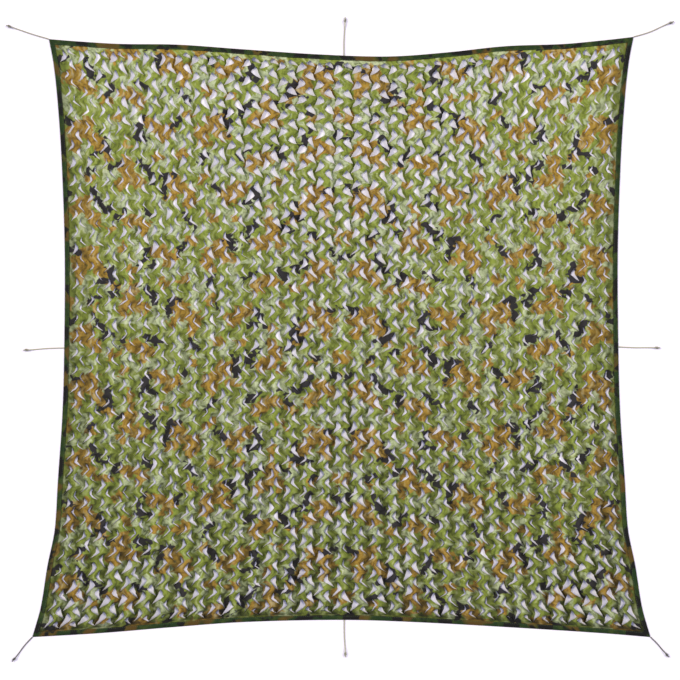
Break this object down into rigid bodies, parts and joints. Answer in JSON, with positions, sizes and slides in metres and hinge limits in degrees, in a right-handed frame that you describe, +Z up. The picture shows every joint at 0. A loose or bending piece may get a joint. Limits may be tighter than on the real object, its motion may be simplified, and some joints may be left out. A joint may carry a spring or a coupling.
{
  "type": "camouflage net",
  "caption": "Square camouflage net of leaf-cut cloth with taped edges, laid flat as its knotted tie ropes have stretched it.",
  "frame": {"origin": "on the floor under the middle of the net's outline, without its ropes", "axes": "+Z up out of the net's upper face, +X to the right along its near edge (the longer one), +Y to its far edge"},
  "size_m": [3.3381, 3.2218, 0.0146],
  "materials": {
    "printed_cloth": "coated polyester cloth, woodland camouflage print, soft satin",
    "edge_tape": "dark camouflage printed tape, sewn down twice",
    "tie_rope": "braided polypropylene cord, matt"
  },
  "bodies": {
    "root": {"net": "printed_cloth", "binding_top": "edge_tape", "binding_bottom": "edge_tape", "binding_left": "edge_tape", "binding_right": "edge_tape", "rope_top_left": "tie_rope", "rope_top": "tie_rope", "rope_top_right": "tie_rope", "rope_right": "tie_rope", "rope_bottom_right": "tie_rope", "rope_bottom": "tie_rope", "rope_bottom_left": "tie_rope", "rope_left": "tie_rope", "knot_top_left": "tie_rope", "knot_top": "tie_rope", "knot_top_right": "tie_rope", "knot_right": "tie_rope", "knot_bottom_right": "tie_rope", "knot_bottom": "tie_rope", "knot_bottom_left": "tie_rope", "knot_left": "tie_rope"}
  },
  "joints": []
}
